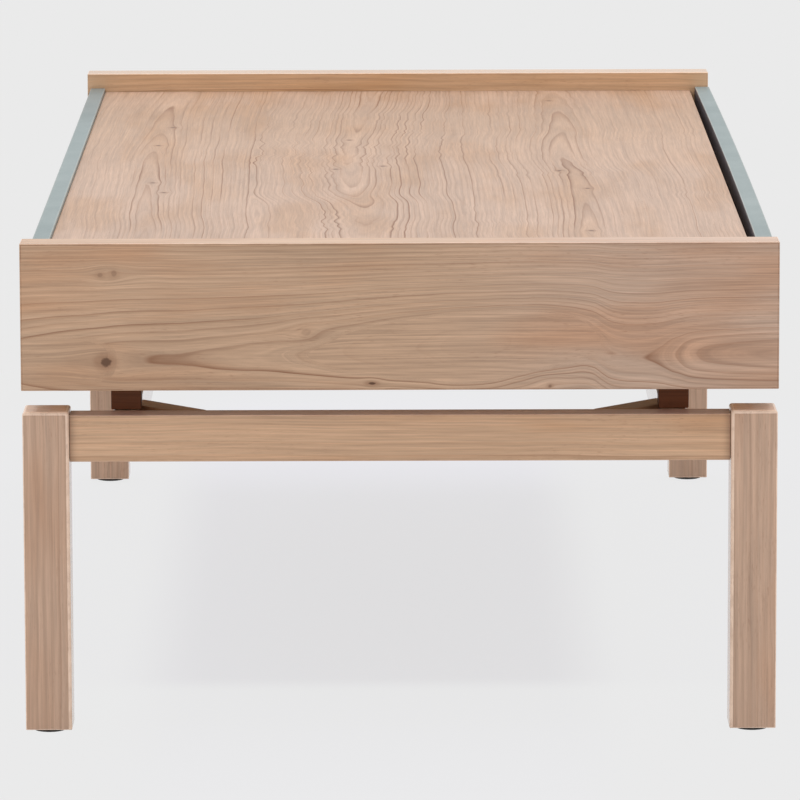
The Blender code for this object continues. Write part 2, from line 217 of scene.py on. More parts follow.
# Line is the dark late growth at the end of a year, band the slow change of tone through it.
# Every year has a strength of its own, none below faintest. The years below calm are faint.
# The bold year is strong even there, and both bold years weaken above one height on the face.
def makeRingToneGroup():
    group, given = newGroup("ringTone", {
        "Vector": None, "Rings": 0.0, "Line Width": 0.25, "Faintest": 0.08, "Bold Year": -10.0,
        "Second Bold Year": -10.0, "Bold Below": 10.0, "Calm": -10.0, "Seed": 0.0})
    lateGrowth, boldFade, boldLeft = 0.93, 0.008, 0.35
    parts = parted(given["Vector"])
    ring = maths("FLOOR", given["Rings"])
    place = maths("FRACT", given["Rings"])
    number = plus(ring, given["Seed"])
    chance = addNode(group, "ShaderNodeTexWhiteNoise", {"W": number}, noise_dimensions="1D").outputs["Value"]
    calm = ramped(minus(given["Rings"], given["Calm"]), -0.3, 0.2, 0.12, 1.0)
    second = times(maths("COMPARE", ring, given["Second Bold Year"], 0.5), calm)
    bold = maths("MAXIMUM", maths("COMPARE", ring, given["Bold Year"], 0.5), second)
    bold = times(bold, ramped(minus(parts[1], given["Bold Below"]), 0.0, boldFade, 1.0, boldLeft))
    strength = times(ramped(chance, 0.20, 1.0, given["Faintest"], 0.75), calm)
    strength = maths("MAXIMUM", strength, bold)
    alongRing = combined(times(parts[0], 4.5), times(number, 3.7), given["Seed"])
    fade = maths("MAXIMUM", ramped(noise(alongRing), 0.34, 0.64, 0.10, 1.0), times(bold, 0.75))
    start = minus(1.0, times(given["Line Width"], 2.4))
    rise = maths("POWER", ramped(place, start, lateGrowth, smooth=False), 2.2)
    fall = ramped(place, lateGrowth, 1.0, 1.0, 0.0)
    slope = times(ramped(place, 0.0, 0.9), ramped(place, 0.9, 1.0, 1.0, 0.0))
    band = plus(times(slope, 0.6), times(chance, 0.4))
    return putOut(group, {
        "Line": times(rise, fall, times(strength, fade)),
        "Band": maths("MULTIPLY_ADD", minus(band, 0.5), calm, 0.5),
        "Plain": minus(1.0, calm),
    })


# Streaks follow the rings, fibres run straight along the board.
def makeFibreGroup():
    group, given = newGroup("fibres", {"Vector": None, "Rings": 0.0, "Seed": 0.0})
    board, seed = given["Vector"], given["Seed"]
    parts = parted(board)
    shifted = maths("MULTIPLY_ADD", parts[1], 16.0, seed)
    flow = combined(times(parts[0], 6.0), times(given["Rings"], 1.9), shifted)
    fleck = noise(board, (110.0, 1500.0, 1500.0), seed, detail=1.0)
    patch = noise(board, (9.0, 40.0, 40.0), seed)
    return putOut(group, {
        "Fibre": noise(board, (24.0, 820.0, 820.0), seed, detail=3.0, roughness=0.6),
        "Streak": noise(flow, detail=3.5, roughness=0.62),
        "Flecks": times(ramped(fleck, 0.62, 0.74), ramped(patch, 0.42, 0.62)),
        "Cloud": noise(board, (3.2, 13.0, 13.0), seed, detail=3.0),
        "Warmth": noise(board, (5.0, 22.0, 22.0), plus(seed, 7.3)),
    })


# the grain opens round a knot and closes again behind it
def makeKnotGroup():
    group, given = newGroup("knot", {
        "Vector": None, "Centre": (0.0, 0.0, 0.0), "Size": 0.004, "Spread": 3.0, "Shape": (0.85, 1.0, 0.12),
        "Unevenness": 0.5})
    away = vectorMaths("SUBTRACT", given["Vector"], given["Centre"])
    distance = vectorMaths("LENGTH", vectorMaths("MULTIPLY", away, (0.45, 1.0, 0.25)))
    share = over(distance, times(given["Size"], given["Spread"]))
    share = maths("EXPONENT", times(share, share, -1.0))
    sideways = vectorMaths("MULTIPLY", away, (0.0, 0.8, 0.0))
    push = addNode(group, "ShaderNodeVectorMath", {0: sideways, "Scale": share}, operation="SCALE").outputs[0]
    near = over(vectorMaths("LENGTH", vectorMaths("MULTIPLY", away, given["Shape"])), given["Size"])
    near = plus(near, centred(given["Unevenness"], 0.8))
    return putOut(group, {
        "Vector": vectorMaths("SUBTRACT", given["Vector"], push),
        "Core": ramped(near, 1.2, 0.7),
        "Halo": ramped(near, 3.2, 0.9),
    })


# Handling and cleaning leave duller and shinier patches. The arrises are rubbed pale and also carry a painted
# highlight, and a painted shade line lies on the flat just beside them.
def makeWearGroup():
    group, given = newGroup("wear", {"Vector": None, "Arris": 0.0, "Seed": 0.0})
    board, arris, seed = given["Vector"], given["Arris"], given["Seed"]
    broken = noise(board, (60.0, 60.0, 60.0), seed, detail=4.0, roughness=0.65)
    beside = times(ramped(arris, 0.40, 0.75), ramped(arris, 1.0, 0.86))
    return putOut(group, {
        "Rubbed": times(ramped(arris, 0.88, 1.0), ramped(broken, 0.30, 0.62, 0.55, 1.0)),
        "Grime": times(beside, ramped(broken, 0.35, 0.60, 1.0, 0.4)),
        "Patches": noise(board, (9.0, 9.0, 9.0), seed, detail=4.0, roughness=0.6),
        "Dust": ramped(noise(board, (700.0, 700.0, 700.0), seed, detail=1.0), 0.66, 0.78),
    })


yearRings = makeFigureGroup()
ringTone = makeRingToneGroup()
fibres = makeFibreGroup()
knot = makeKnotGroup()
wear = makeWearGroup()
print("shared groups made")


# Materials

def newMaterial(name):
    material = bpy.data.materials.new(name)
    material.use_nodes = True
    return material, material.node_tree, material.node_tree.nodes["Principled BSDF"]


def dressShader(shader, colour, rough, relief, bump, depth=0.0003):
    tree = colour.id_data
    raised = addNode(tree, "ShaderNodeBump", {"Strength": bump, "Distance": depth, "Height": relief})
    for name, source in (("Base Color", colour), ("Roughness", rough), ("Normal", raised.outputs[0])):
        tree.links.new(source, shader.inputs[name])


# a value that changes along a board, given as (place, value) in metres
def followCurve(along, points):
    places = [place for place, value in points]
    values = [value for place, value in points]
    low, high = min(values), max(values) + 1e-6
    made = addNode(along.id_data, "ShaderNodeFloatCurve",
                   {"Value": ramped(along, places[0], places[-1], smooth=False)})
    curve = made.mapping.curves[0]
    for index, (place, value) in enumerate(points):
        spot = ((place - places[0]) / (places[-1] - places[0]), (value - low) / (high - low))
        if index < 2:
            curve.points[index].location = spot
        else:
            curve.points.new(*spot)
    made.mapping.update()
    return ramped(made.outputs[0], 0.0, 1.0, low, high, smooth=False)


# a board's own space, and the way that its surface faces
def boardSpace(tree, axes, origin=(0.0, 0.0, 0.0)):
    position = addNode(tree, "ShaderNodeTexCoord").outputs
    place = vectorMaths("SUBTRACT", position["Object"], origin)
    return combined(*[vectorMaths("DOT_PRODUCT", place, axis) for axis in axes]), position["Normal"]


# boardMesh and easedCopy leave this mark on the arrises
def arrisMark(tree):
    return addNode(tree, "ShaderNodeAttribute", attribute_name="arris").outputs["Fac"]


woodDefaults = {
    "pale": (206, 171, 141), "deep": (188, 149, 117), "warm": (192, 145, 107), "line": (132, 84, 52),
    "knotColour": (84, 52, 32), "rubbedColour": (250, 218, 196), "lineWidth": 0.24, "lineStrength": 0.75,
    "bandStrength": 0.45, "fibreStrength": 0.30, "fleckStrength": 0.35, "haloStrength": 0.45,
    "knotStrength": 0.90, "faintest": 0.08, "boldYears": (-10.0, -10.0), "boldBelow": 10.0, "calm": (),
    "lineShare": (), "drift": (), "driftTint": (1.0, 1.0, 1.0), "topTint": (), "cloudiness": 0.06,
    "endGrain": 0.85, "rubbing": 0.90, "sideRubbing": 0.15, "grime": 0.40, "roughness": 0.50,
    "refraction": 1.45, "specular": 0.3, "sheen": 0.35, "sheenRoughness": 0.20, "bump": 0.25, "knots": (),
    "seed": 1.0,
}

# A knot has a place, and may have a size, a spread of the grain round it, a shape, which is how
# thin it is along each way, and a darkness.
knotDefaults = {"size": 0.0022, "spread": 3.0, "shape": (0.85, 1.0, 0.12), "darkness": 0.8}


def makeWood(name, axes, origin, figures, **changes):
    look = {**woodDefaults, **changes}
    material, tree, shader = newMaterial(name)
    board, normal = boardSpace(tree, axes, origin)
    endwise = ramped(maths("ABSOLUTE", vectorMaths("DOT_PRODUCT", normal, axes[0])), 0.6, 0.9)
    upward = ramped(parted(normal)[2], 0.55, 0.95)

    cores, halos = 0.0, 0.0
    uneven = noise(board, (260.0, 330.0, 300.0)) if look["knots"] else None
    for given in look["knots"]:
        spot = {**knotDefaults, **given}
        made = useGroup(knot, {"Vector": board, "Centre": spot["place"], "Size": spot["size"],
                               "Spread": spot["spread"], "Shape": spot["shape"], "Unevenness": uneven})
        board = made["Vector"]
        cores = maths("MAXIMUM", cores, times(made["Core"], spot["darkness"]))
        halos = maths("MAXIMUM", halos, times(made["Halo"], spot["darkness"]))

    # each heart has noise of its own, and two hearts meet softly over a few rings
    seedStep, meeting = 3.1, 3.0
    along, across, inward = parted(board)
    rings = None
    for index, figure in enumerate(figures):
        sources = {"Vector": board, "Seed": look["seed"] + seedStep * index}
        for key, value in figure.items():
            sources[key] = followCurve(along, value) if isinstance(value, list) else value
        found = useGroup(yearRings, sources)["Rings"]
        rings = found if rings is None else maths("SMOOTH_MIN", rings, found, meeting)

    seeded = {"Vector": board, "Seed": look["seed"]}
    firstBold, secondBold = look["boldYears"]
    tone = useGroup(ringTone, {
        **seeded, "Rings": rings, "Line Width": look["lineWidth"], "Faintest": look["faintest"],
        "Bold Year": firstBold, "Second Bold Year": secondBold, "Bold Below": look["boldBelow"],
        "Calm": followCurve(along, look["calm"]) if look["calm"] else -10.0})
    # where the wood is plain, its streaks run straight, as many to a metre
    straightStreaks = 300.0
    straight = minus(times(across, straightStreaks), rings)
    flow = maths("MULTIPLY_ADD", straight, tone["Plain"], rings)
    grain = useGroup(fibres, {**seeded, "Rings": flow})
    worn = useGroup(wear, {**seeded, "Arris": arrisMark(tree)})
    # arrises on top take the full wear and painted highlight, upright ones less: painted light from above
    rubbing = ramped(upward, 0.0, 1.0, look["rubbing"] * look["sideRubbing"], look["rubbing"], smooth=False)
    lineShare = followCurve(across, look["lineShare"]) if look["lineShare"] else 1.0

    colour = coated(look["pale"], look["deep"], times(tone["Band"], look["bandStrength"], lineShare))
    colour = coated(colour, look["warm"], ramped(grain["Warmth"], 0.45, 0.72, 0.0, 0.75))
    # a tint that follows the board: a change of tone on the near board, painted shade and a painted reflection
    # on the top, a painted shadow on the end rails
    if look["drift"]:
        colour = tinted(colour, look["driftTint"], followCurve(along, look["drift"]))
    # upward faces take a tint, a painted cast of light on the end rails' tops
    if look["topTint"]:
        colour = tinted(colour, look["topTint"], upward)
    strength = look["fibreStrength"]
    streak = spread(grain["Streak"], 1.0 - 0.6 * strength, 1.0 + 0.4 * strength)
    fibre = spread(grain["Fibre"], 1.0 - 0.35 * strength, 1.0 + 0.25 * strength)
    cloud = spread(grain["Cloud"], 1.0 - look["cloudiness"], 1.0 + look["cloudiness"])
    # end grain is darker, except on the legs, where it is painted lighter as painted light
    colour = shaded(colour, times(streak, fibre, cloud, ramped(endwise, 0.0, 1.0, 1.0, look["endGrain"])))
    # arrises paled by wear, with a painted highlight on them
    colour = coated(colour, look["rubbedColour"], worn["Rubbed"], rubbing)
    # a painted shade line on the flats beside the arrises
    colour = coated(colour, look["line"], worn["Grime"], look["grime"])
    colour = coated(colour, look["line"], times(tone["Line"], look["lineStrength"], lineShare))
    colour = coated(colour, look["line"], grain["Flecks"], look["fleckStrength"])
    if look["knots"]:
        colour = coated(colour, look["line"], halos, look["haloStrength"])
        colour = coated(colour, look["knotColour"], cores, look["knotStrength"])

    rough = spread(worn["Patches"], look["roughness"] - 0.04, look["roughness"] + 0.05)
    rough = plus(rough, centred(grain["Streak"], 0.12), times(endwise, 0.14), times(worn["Dust"], 0.12))
    relief = plus(times(grain["Fibre"], 0.35), times(grain["Streak"], 0.65), times(tone["Line"], 0.6))
    relief = minus(relief, times(grain["Flecks"], 0.9))
    if look["knots"]:
        relief = minus(relief, times(cores, 1.5))
    dressShader(shader, colour, rough, relief, look["bump"])
    coat = ramped(endwise, 0.0, 1.0, look["sheen"], 0.4 * look["sheen"], smooth=False)
    tree.links.new(coat, shader.inputs["Coat Weight"])
    shader.inputs["Coat Roughness"].default_value = look["sheenRoughness"]
    shader.inputs["IOR"].default_value = look["refraction"]
    shader.inputs["Specular IOR Level"].default_value = look["specular"]
    return material


alongX, alongY, alongZ = (1.0, 0.0, 0.0), (0.0, 1.0, 0.0), (0.0, 0.0, 1.0)
backY, downZ = (0.0, -1.0, 0.0), (0.0, 0.0, -1.0)

# The near board is sawn so that the rings show as a long spindle on the left and a flame on
# the right. Each sway and rise is a list of (place along the board, metres).
nearBoardFigure = {
    "Centre": 0.305, "Depth": 0.030, "Reach": 0.055, "Ring Width": 0.0033, "Wander": 0.0015, "Curl": 0.002,
    "Kinks": 0.002,
    "Sway": [(-0.31, -0.001), (-0.20, -0.0010), (-0.145, 0.0004), (-0.086, 0.0028), (0.0, 0.0085),
             (0.06, 0.0105), (0.095, 0.0145), (0.132, 0.017), (0.16, 0.009), (0.189, 0.0017), (0.237, 0.003),
             (0.31, 0.003)],
    "Rise": [(-0.31, 0.0135), (-0.240, 0.0082), (-0.215, 0.0069), (-0.200, 0.0065), (-0.172, 0.0061),
             (-0.1495, 0.0053), (-0.094, 0.0036), (-0.039, -0.0010), (0.020, -0.0080), (0.06, -0.0125),
             (0.095, -0.009), (0.132, -0.004), (0.16, -0.0005), (0.189, -0.0002), (0.2176, -0.0037),
             (0.2373, -0.0073), (0.277, -0.0094), (0.31, -0.0103)],
}
farBoardFigure = {
    "Centre": 0.330, "Depth": 0.055, "Reach": 0.06, "Ring Width": 0.0030, "Wander": 0.005, "Curl": 0.003,
    "Sway": [(-0.31, 0.0), (-0.12, 0.008), (0.08, 0.002), (0.31, 0.010)],
    "Rise": [(-0.31, 0.004), (0.0, 0.0), (0.31, 0.010)],
}

# The top has three hearts under it. The rings of the left and right ones close towards the far
# end, those of the middle one towards the near end.
panelHeart = {"Depth": 0.0, "Reach": 0.10, "Wander": 0.004}
panelFigures = [
    {**panelHeart, "Centre": -0.218, "Ring Width": 0.0038, "Curl": 0.008, "Kinks": 0.003, "Ripple": 0.14,
     "Sway": [(-0.58, 0.012), (-0.16, 0.004), (0.15, 0.0), (0.30, 0.002), (0.58, 0.010)],
     "Rise": [(-0.58, 0.005), (-0.097, 0.0117), (0.151, 0.0157), (0.299, 0.0197), (0.58, 0.024)]},
    {**panelHeart, "Centre": -0.043, "Ring Width": 0.0036, "Curl": 0.012, "Kinks": 0.018,
     "Sway": [(-0.58, 0.006), (-0.29, 0.016), (-0.16, 0.002), (0.10, 0.0), (0.30, 0.006), (0.58, 0.020)],
     "Rise": [(-0.58, 0.036), (-0.30, 0.030), (-0.198, 0.0250), (-0.144, 0.0214), (0.0, 0.0178),
              (0.239, 0.0142), (0.58, 0.009)]},
    {**panelHeart, "Centre": 0.152, "Ring Width": 0.0040, "Curl": 0.008, "Kinks": 0.009, "Ripple": 0.18,
     "Sway": [(-0.58, 0.004), (-0.16, 0.006), (0.13, -0.006), (0.33, 0.0), (0.58, -0.006)],
     "Rise": [(-0.58, 0.005), (-0.405, 0.0085), (-0.151, 0.0129), (0.129, 0.0173), (0.328, 0.0217),
              (0.485, 0.0261), (0.58, 0.029)]},
]
panelKnots = ((-0.0445, 0.190), (-0.0551, -0.015), (-0.0138, 0.005), (-0.217, 0.154), (-0.2128, -0.103),
              (-0.2009, -0.167), (-0.208, 0.286), (0.144, 0.487), (0.141, -0.028), (0.162, -0.147),
              (0.157, -0.409))
straightFigure = {
    "Centre": 0.0, "Depth": 0.10, "Reach": 0.2, "Ring Width": 0.0034, "Wander": 0.006, "Curl": 0.003}
legFigure = {
    "Centre": -0.05, "Depth": 0.075, "Reach": 0.2, "Ring Width": 0.0040, "Wander": 0.008, "Curl": 0.005}

# the near board carries a strong painted shade line beside its arrises
nearBoardWood = makeWood(
    "nearBoardWood", (alongX, alongZ, alongY), (0.0, -0.600, 0.0), [nearBoardFigure], seed=2.0,
    pale=(203, 168, 139), deep=(187, 148, 117), warm=(194, 145, 109), lineWidth=0.18, lineStrength=0.90,
    fibreStrength=0.36, faintest=0.15, boldYears=(10.0, 8.0), boldBelow=0.306, grime=0.70, sideRubbing=0.0,
    driftTint=(1.01, 1.07, 1.22), drift=[(-0.31, 0.0), (-0.02, 0.0), (0.20, 0.9), (0.31, 1.0)],
    calm=[(-0.31, 13.9), (-0.285, 13.6), (-0.25, 12.8), (-0.215, 10.6), (-0.20, 10.2), (0.135, 10.2),
          (0.155, 9.4), (0.185, 7.9), (0.22, 6.0), (0.31, 4.0)],
    knots=[{"place": (-0.2324, 0.3029, 0.0), "size": 0.0036, "spread": 3.2, "darkness": 0.9},
           {"place": (-0.0741, 0.3265, 0.0), "size": 0.0030, "spread": 3.2, "darkness": 0.2},
           {"place": (-0.2365, 0.3727, 0.0), "size": 0.0018, "spread": 3.4, "darkness": 0.3},
           {"place": (-0.2254, 0.3734, 0.0), "size": 0.0018, "spread": 3.4, "darkness": 0.3},
           {"place": (-0.0221, 0.2853, 0.0), "size": 0.0010, "shape": (0.36, 1.0, 0.12), "spread": 4.0,
            "darkness": 1.0},
           {"place": (0.1188, 0.2828, 0.0), "size": 0.0012, "spread": 5.0, "darkness": 0.5}],
)
farBoardWood = makeWood(
    "farBoardWood", (alongX, alongZ, backY), (0.0, 0.600, 0.0), [farBoardFigure], seed=5.0,
    pale=(209, 170, 134), deep=(189, 147, 107), warm=(192, 145, 100), sheen=0.8, sheenRoughness=0.12)
# the top is painted darker and yellower towards its far end: painted shade and a painted reflection of the far
# board
panelWood = makeWood(
    "panelWood", (alongY, alongX, downZ), (0.0, 0.0, 0.3802), panelFigures, seed=3.0,
    pale=(187, 157, 137), deep=(175, 143, 120), warm=(179, 143, 115), line=(126, 84, 53),
    rubbedColour=(216, 194, 168), lineWidth=0.20, lineStrength=2.4, grime=0.10, specular=0.15, sheen=0.20,
    sheenRoughness=0.15, driftTint=(0.90, 0.85, 0.76),
    drift=[(-0.57, 0.0), (-0.25, 0.1), (0.0, 0.35), (0.20, 0.8), (0.346, 1.0), (0.47, 0.4), (0.57, 0.1)],
    lineShare=[(-0.283, 0.12), (-0.238, 0.2), (-0.212, 0.8), (-0.178, 0.45), (-0.140, 0.85), (-0.100, 0.3),
               (-0.052, 0.85), (-0.020, 0.9), (0.025, 1.0), (0.070, 0.6), (0.112, 0.45), (0.140, 0.85),
               (0.175, 0.22), (0.212, 0.14), (0.243, 0.45), (0.283, 0.3)],
    knots=[{"place": (y, x, 0.0)} for x, y in panelKnots])
# the legs' end grain is painted lighter, painted light on their tops under the box, and their upright arrises
# take nearly the full wear and painted highlight
legColours = {
    "pale": (204, 169, 144), "deep": (187, 149, 123), "warm": (192, 147, 116), "lineStrength": 0.45,
    "rubbedColour": (255, 224, 200), "rubbing": 1.0, "sideRubbing": 0.85, "grime": 0.25, "endGrain": 1.5,
    "sheen": 0.85, "sheenRoughness": 0.12}
legWoods = {}
for number, corner in enumerate(corners):
    low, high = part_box("leg_" + corner)
    legWoods[corner] = makeWood("legWood" + str(number + 1), (alongZ, alongX, alongY), (low.x, low.y, 0.0),
                                [legFigure], seed=11.0 + 4.7 * number, **legColours)
# the end rails are painted darker in the last few millimetres beside the legs, a painted shadow of the legs,
# and their tops take a painted cast of light
endRailWood = makeWood(
    "endRailWood", (alongX, alongZ, alongY), (0.0, 0.0, 0.180), [{**straightFigure, "Depth": 0.65}],
    seed=21.0, pale=(216, 177, 144), deep=(200, 156, 121), warm=(204, 154, 113), lineStrength=0.5,
    topTint=(0.96, 1.03, 1.40), driftTint=(0.56, 0.54, 0.54),
    drift=[(-0.263, 1.0), (-0.2602, 0.55), (-0.2572, 0.15), (-0.254, 0.0), (0.254, 0.0), (0.2572, 0.15),
           (0.2602, 0.55), (0.263, 1.0)])
longRailWood = makeWood(
    "longRailWood", (alongY, alongZ, alongX), (0.0, 0.0, 0.16), [{**straightFigure, "Depth": 0.30}],
    seed=24.0, lineStrength=0.5, sheen=1.0, sheenRoughness=0.04)
slopeUp, slopeDown = (math.sqrt(0.5), math.sqrt(0.5), 0.0), (math.sqrt(0.5), -math.sqrt(0.5), 0.0)
# the braces get a darker wood, which paints in the shade that the box casts on them
braceWoods = {}
for number, (slope, turn, way) in enumerate(((slopeUp, slopeDown, 1), (slopeDown, slopeUp, -1))):
    braceWoods[way] = makeWood(
        "braceWood" + str(number + 1), (slope, turn, alongZ), (0.0, 0.0, 0.10), [straightFigure],
        seed=27.0 + number, pale=(183, 142, 112), deep=(167, 124, 93), warm=(170, 120, 85), lineStrength=0.5)
# the spacer blocks and the batten get a dark wood, which paints in the shade under the box
battenWood = makeWood(
    "battenWood", (alongX, alongY, alongZ), (0.0, 0.0, 0.10), [straightFigure], seed=31.0,
    pale=(118, 72, 46), deep=(98, 56, 34), warm=(106, 56, 30), line=(56, 30, 16), lineStrength=0.5,
    rubbedColour=(150, 102, 70), specular=0.15, sheen=0.05)
boxColours = {
    "pale": (216, 190, 156), "deep": (205, 175, 138), "warm": (204, 168, 124), "line": (150, 110, 70),
    "rubbedColour": (226, 204, 174), "lineStrength": 0.5, "roughness": 0.56}
innerWoodAcross = makeWood("innerWoodAcross", (alongX, alongZ, alongY), (0.0, 0.0, 0.24), [straightFigure],
                           seed=41.0, **boxColours)
innerWoodAlong = makeWood("innerWoodAlong", (alongY, alongZ, alongX), (0.0, 0.0, 0.24), [straightFigure],
                          seed=43.0, **boxColours)
print("solid woods made")


plyLook = {"pale": (212, 186, 150), "deep": (198, 168, 130), "line": (156, 118, 80), "glue": (92, 62, 40),
           "ply": 0.00133, "waviness": 0.0003, "roughness": 0.60, "seed": 52.0}
plyFigure = {"Centre": 0.04, "Depth": -0.22, "Reach": 0.3, "Ring Width": 0.011, "Wander": 0.09, "Curl": 0.03}


# A peeled face veneer on both sides, and plies that turn by a quarter at the edges.
def makePlywood():
    material, tree, shader = newMaterial("plywoodFinish")
    board, normal = boardSpace(tree, (alongY, alongX, alongZ))
    edge = ramped(maths("ABSOLUTE", vectorMaths("DOT_PRODUCT", normal, alongZ)), 0.75, 0.45)
    seeded = {"Vector": board, "Seed": plyLook["seed"]}
    rings = useGroup(yearRings, {**seeded, **plyFigure})["Rings"]
    tone = useGroup(ringTone, {**seeded, "Rings": rings, "Line Width": 0.3})
    grain = useGroup(fibres, {**seeded, "Rings": rings})
    worn = useGroup(wear, {**seeded, "Arris": arrisMark(tree)})
    face = coated(plyLook["pale"], plyLook["deep"], tone["Band"], 0.6)
    face = coated(face, plyLook["line"], tone["Line"], 0.6)

    height = plus(parted(board)[2], times(noise(board, 20.0), plyLook["waviness"]))
    turn = maths("PINGPONG", over(height, plyLook["ply"]), 1.0)
    glueLine = ramped(maths("ABSOLUTE", minus(turn, 0.5)), 0.09, 0.03)
    plies = coated(plyLook["pale"], plyLook["line"], ramped(turn, 0.45, 0.55))
    plies = coated(plies, plyLook["glue"], glueLine, 0.7)
    shade = times(spread(grain["Streak"], 0.86, 1.10), spread(grain["Fibre"], 0.90, 1.07))
    colour = shaded(blended(edge, face, plies), shade)
    colour = coated(colour, plyLook["pale"], worn["Rubbed"], 0.25)
    rough = spread(worn["Patches"], plyLook["roughness"] - 0.05, plyLook["roughness"] + 0.08)
    relief = minus(plus(grain["Fibre"], times(grain["Streak"], 0.8)), times(glueLine, edge, 1.5))
    dressShader(shader, colour, plus(rough, times(edge, 0.15)), relief, 0.35)
    return material


# The dark stain on each board's back also paints in the shade of the slot beside the right drawer. The left
# board's stain stops at the table top, the right board's goes all the way up.
paintLook = {"colour": (133, 146, 146), "shadow": (121, 134, 135), "rubbed": (178, 180, 174),
             "undercoat": (180, 166, 144), "dust": (226, 226, 222), "stain": (70, 67, 76), "stainTop": 0.3894,
             "stainEdge": 0.0005, "leftStop": 0.01, "dullTint": (0.78, 0.73, 0.71), "dullFrom": 0.20,
             "dullTo": 0.50, "roughness": 0.42, "seed": 61.0}


# Satin paint, rolled on along the board and rubbed thin on the arrises, which also carry a painted highlight.
def makePaint():
    material, tree, shader = newMaterial("bluePaint")
    board, normal = boardSpace(tree, (alongY, alongZ, alongX))
    along, height, outward = parted(board)
    arris = arrisMark(tree)
    worn = useGroup(wear, {"Vector": board, "Arris": arris, "Seed": paintLook["seed"]})
    grain = useGroup(fibres, {"Vector": board, "Rings": times(height, 160.0), "Seed": paintLook["seed"]})
    stipple = noise(board, (420.0, 520.0, 520.0), detail=3.0, roughness=0.55)
    colour = coated(paintLook["colour"], paintLook["shadow"], ramped(worn["Patches"], 0.3, 0.7, 0.0, 0.7))
    colour = coated(colour, paintLook["shadow"], ramped(grain["Streak"], 0.45, 0.75, 0.0, 0.25))
    # arrises paled by wear, with a painted highlight on them
    colour = coated(colour, paintLook["rubbed"], worn["Rubbed"], 0.45)
    bare = times(ramped(arris, 0.9, 1.0), ramped(grain["Cloud"], 0.60, 0.68))
    colour = coated(colour, paintLook["undercoat"], bare, 0.6)
    colour = coated(colour, paintLook["dust"], worn["Dust"], 0.10)

    # the back of a board has only a dark stain, which also paints in shade, and the left board is darker
    # towards its far end
    side = maths("SIGN", outward)
    back = ramped(times(parted(normal)[0], side), -0.6, -0.9)
    level = maths("MULTIPLY_ADD", side, -paintLook["leftStop"], height)
    back = times(back, ramped(level, paintLook["stainTop"] + paintLook["stainEdge"], paintLook["stainTop"]))
    # the left board is darker towards its far end
    dulled = times(ramped(along, paintLook["dullFrom"], paintLook["dullTo"]), ramped(side, 0.5, -0.5))
    colour = tinted(colour, paintLook["dullTint"], dulled)
    colour = coated(colour, paintLook["stain"], back)
    rough = spread(worn["Patches"], paintLook["roughness"] - 0.05, paintLook["roughness"] + 0.07)
    relief = plus(times(stipple, 0.7), times(grain["Streak"], 0.5))
    dressShader(shader, colour, plus(rough, centred(stipple, 0.10)), relief, 0.22)
    return material


zincLook = {"bright": (196, 196, 194), "dull": (158, 160, 163), "tarnish": (126, 121, 112)}
plasticLook = {"dark": (36, 33, 32), "pale": (50, 47, 45), "scuffed": (112, 108, 103), "scuffHeight": 0.0016}


# Zinc on turned steel: fine spangle, with darker tarnish in patches.
def makeZinc():
    material, tree, shader = newMaterial("zincFinish")
    position = addNode(tree, "ShaderNodeTexCoord").outputs["Object"]
    spangle = addNode(tree, "ShaderNodeTexVoronoi", {"Vector": position, "Scale": 1400.0}).outputs["Color"]
    value = addNode(tree, "ShaderNodeSeparateColor", {0: spangle}).outputs[0]
    tarnish = noise(position, 260.0, detail=3.0)
    scratches = noise(position, (5200.0, 5200.0, 420.0))
    colour = coated(zincLook["bright"], zincLook["dull"], value, 0.35)
    colour = coated(colour, zincLook["tarnish"], ramped(tarnish, 0.5, 0.75, 0.0, 0.6))
    rough = plus(ramped(tarnish, 0.3, 0.8, 0.26, 0.50, smooth=False), times(scratches, 0.10))
    dressShader(shader, colour, rough, scratches, 0.2, 0.0001)
    shader.inputs["Metallic"].default_value = 1.0
    return material


# Moulded plastic with a fine spark texture, scuffed where it slides on the floor.
def makePlastic():
    material, tree, shader = newMaterial("darkPlasticFinish")
    position = addNode(tree, "ShaderNodeTexCoord").outputs["Object"]
    spark = noise(position, 2600.0)
    scuff = noise(position, (160.0, 700.0, 300.0), detail=4.0, roughness=0.65)
    low = ramped(parted(position)[2], plasticLook["scuffHeight"], 0.0)
    scuffed = times(ramped(scuff, 0.50, 0.66), low)
    colour = coated(plasticLook["dark"], plasticLook["pale"], ramped(spark, 0.3, 0.7))
    colour = coated(colour, plasticLook["scuffed"], scuffed, 0.6)
    rough = plus(spread(spark, 0.42, 0.55), times(scuffed, 0.15))
    dressShader(shader, colour, rough, spark, 0.25, 0.0001)
    return material


plywoodFinish = makePlywood()
bluePaint = makePaint()
zincFinish = makeZinc()
darkPlasticFinish = makePlastic()
print("other finishes made")


# Pieces

def addObject(name, data):
    item = bpy.data.objects.new(name, data)
    bpy.context.scene.collection.objects.link(item)
    return item


def finishPiece(name, mesh, material, nodes, body="table"):
    if material and not mesh.materials:
        mesh.materials.append(material)
    piece = addObject(name, mesh)
    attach(piece, body)
    if nodes:
        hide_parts(*nodes)


# A plain box between two corners, grown by a margin.
def boxShape(low, high, margin=0.0):
    builder = bmesh.new()
    bmesh.ops.create_cube(builder, size=1.0)
    bmesh.ops.scale(builder, vec=[high[i] - low[i] + 2 * margin for i in range(3)], verts=builder.verts)
    bmesh.ops.translate(builder, vec=[(high[i] + low[i]) / 2 for i in range(3)], verts=builder.verts)
    return builder


def meshFrom(builder, name):
    mesh = bpy.data.meshes.new(name)
    builder.to_mesh(mesh)
    builder.free()
    return mesh


def plainMesh(holder):
    mesh = bpy.data.meshes.new_from_object(holder.evaluated_get(bpy.context.evaluated_depsgraph_get()))
    holder.modifiers.clear()
    bpy.data.objects.remove(holder)
    return mesh


